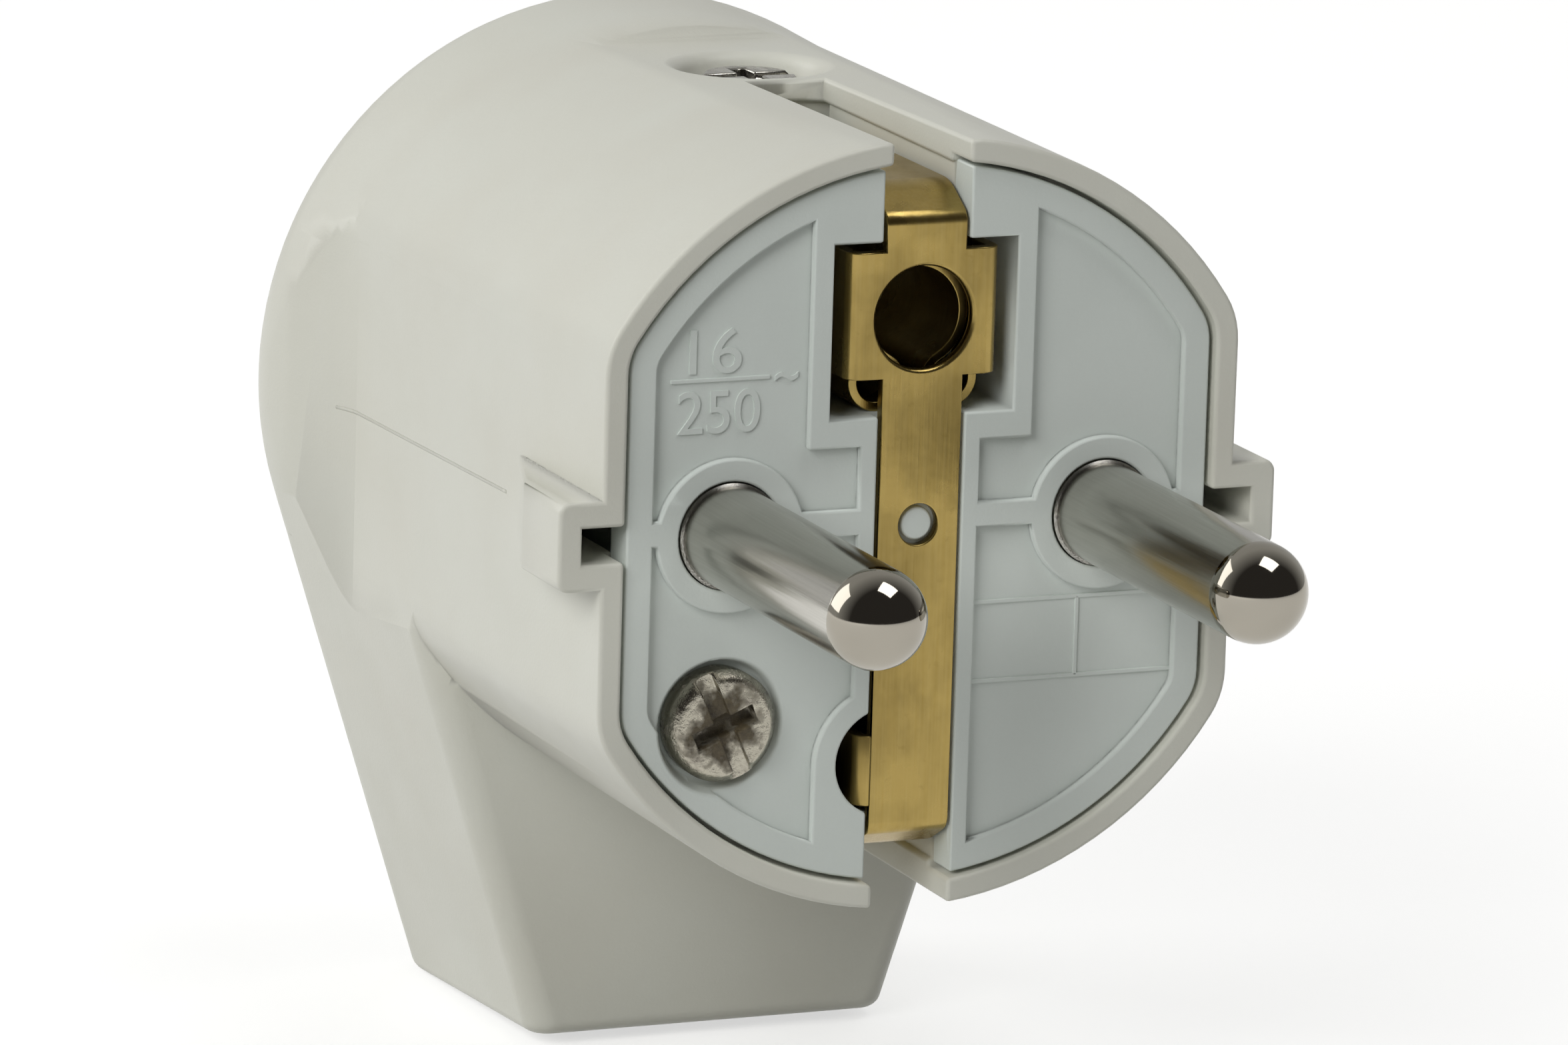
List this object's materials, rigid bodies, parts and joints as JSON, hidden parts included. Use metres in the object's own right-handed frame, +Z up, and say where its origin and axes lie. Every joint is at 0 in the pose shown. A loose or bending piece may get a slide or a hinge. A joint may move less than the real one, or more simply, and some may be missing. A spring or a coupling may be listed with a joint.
{
  "type": "angled plug",
  "caption": "Angled earthed mains plug: round flat-sided housing, tapered cord neck square to the pins, face with brass earth strip and earth-pin socket.",
  "frame": {"origin": "middle of the contact face, half-way between the pins, in the plane of the housing's front rim", "axes": "-Y the way the pins point, +X to the right seen from the pins' side, +Z up, with the cord neck pointing down"},
  "size_m": [0.0374, 0.0612, 0.0498],
  "materials": {
    "housing_plastic": "moulded, satin, warm white",
    "carrier_plastic": "moulded, satin, cool white",
    "pin_metal": "nickel plated, drawn along the pin, polished at the tip",
    "strip_brass": "rolled sheet",
    "screw_steel": "zinc plated"
  },
  "bodies": {
    "root": {"housing": "housing_plastic", "contact_carrier": "carrier_plastic", "pin_left": "pin_metal", "pin_right": "pin_metal", "pin_terminal_screws": "screw_steel", "earth_strip": "strip_brass", "earth_pin_clip": "strip_brass", "earth_terminal_screw": "screw_steel", "earth_clamp_washer": "screw_steel", "carrier_screw": "screw_steel", "housing_screw": "screw_steel", "cord_clamp": "carrier_plastic", "cord_clamp_screws": "screw_steel"}
  },
  "joints": []
}
